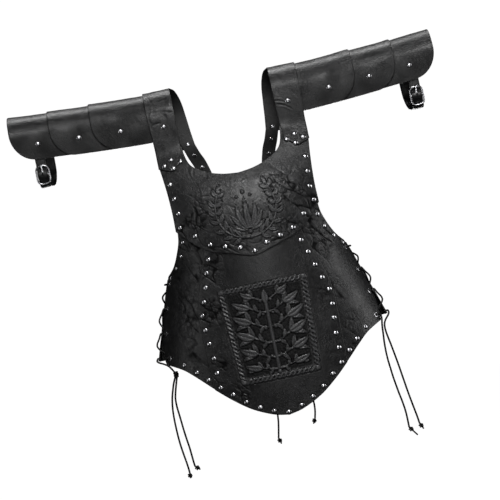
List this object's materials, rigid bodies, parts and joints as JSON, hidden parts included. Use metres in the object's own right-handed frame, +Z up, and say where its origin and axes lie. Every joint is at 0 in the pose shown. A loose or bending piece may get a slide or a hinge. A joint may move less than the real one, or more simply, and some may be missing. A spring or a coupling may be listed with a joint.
{
  "type": "costume vest",
  "caption": "Riveted leather costume vest with a pointed front, laced sides and back, and shingled plates along each arm.",
  "frame": {"origin": "the top of the shoulders at mid width and mid depth, where the wearer holds the vest up", "axes": "+X to the right as seen from the front, along the arm plates; +Y from the front to the back; +Z up"},
  "size_m": [0.796, 0.2441, 0.7298],
  "materials": {
    "leather": "black, semi-gloss, lightly creased",
    "lace": "black waxed cord",
    "nickel": "polished"
  },
  "bodies": {
    "root": {"yoke_front": "leather", "centre_front": "leather", "side_front_left": "leather", "side_front_right": "leather", "back_left": "leather", "back_right": "leather", "back_strap_left": "leather", "back_strap_right": "leather", "shoulder_plate_left": "leather", "shoulder_plate_right": "leather", "arm_plate_1_left": "leather", "arm_plate_2_left": "leather", "arm_plate_3_left": "leather", "arm_plate_1_right": "leather", "arm_plate_2_right": "leather", "arm_plate_3_right": "leather", "buckle_strap_left": "leather", "buckle_strap_right": "leather", "arm_strap_left": "leather", "arm_strap_right": "leather", "buckle_frame_left": "nickel", "buckle_frame_right": "nickel", "buckle_prong_left": "nickel", "buckle_prong_right": "nickel", "side_lacing_left": "lace", "side_lacing_right": "lace", "back_lacing": "lace", "knot_left_gather": "lace", "tail_left_outer": "lace", "tail_left_inner": "lace", "tail_right_inner": "lace", "tail_right_outer": "lace", "tail_back_left": "lace", "tail_back_right": "lace", "knot_left_outer": "lace", "knot_left_inner": "lace", "knot_right_inner": "lace", "knot_right_outer": "lace", "knot_back_left": "lace", "knot_back_right": "lace"}
  },
  "joints": []
}
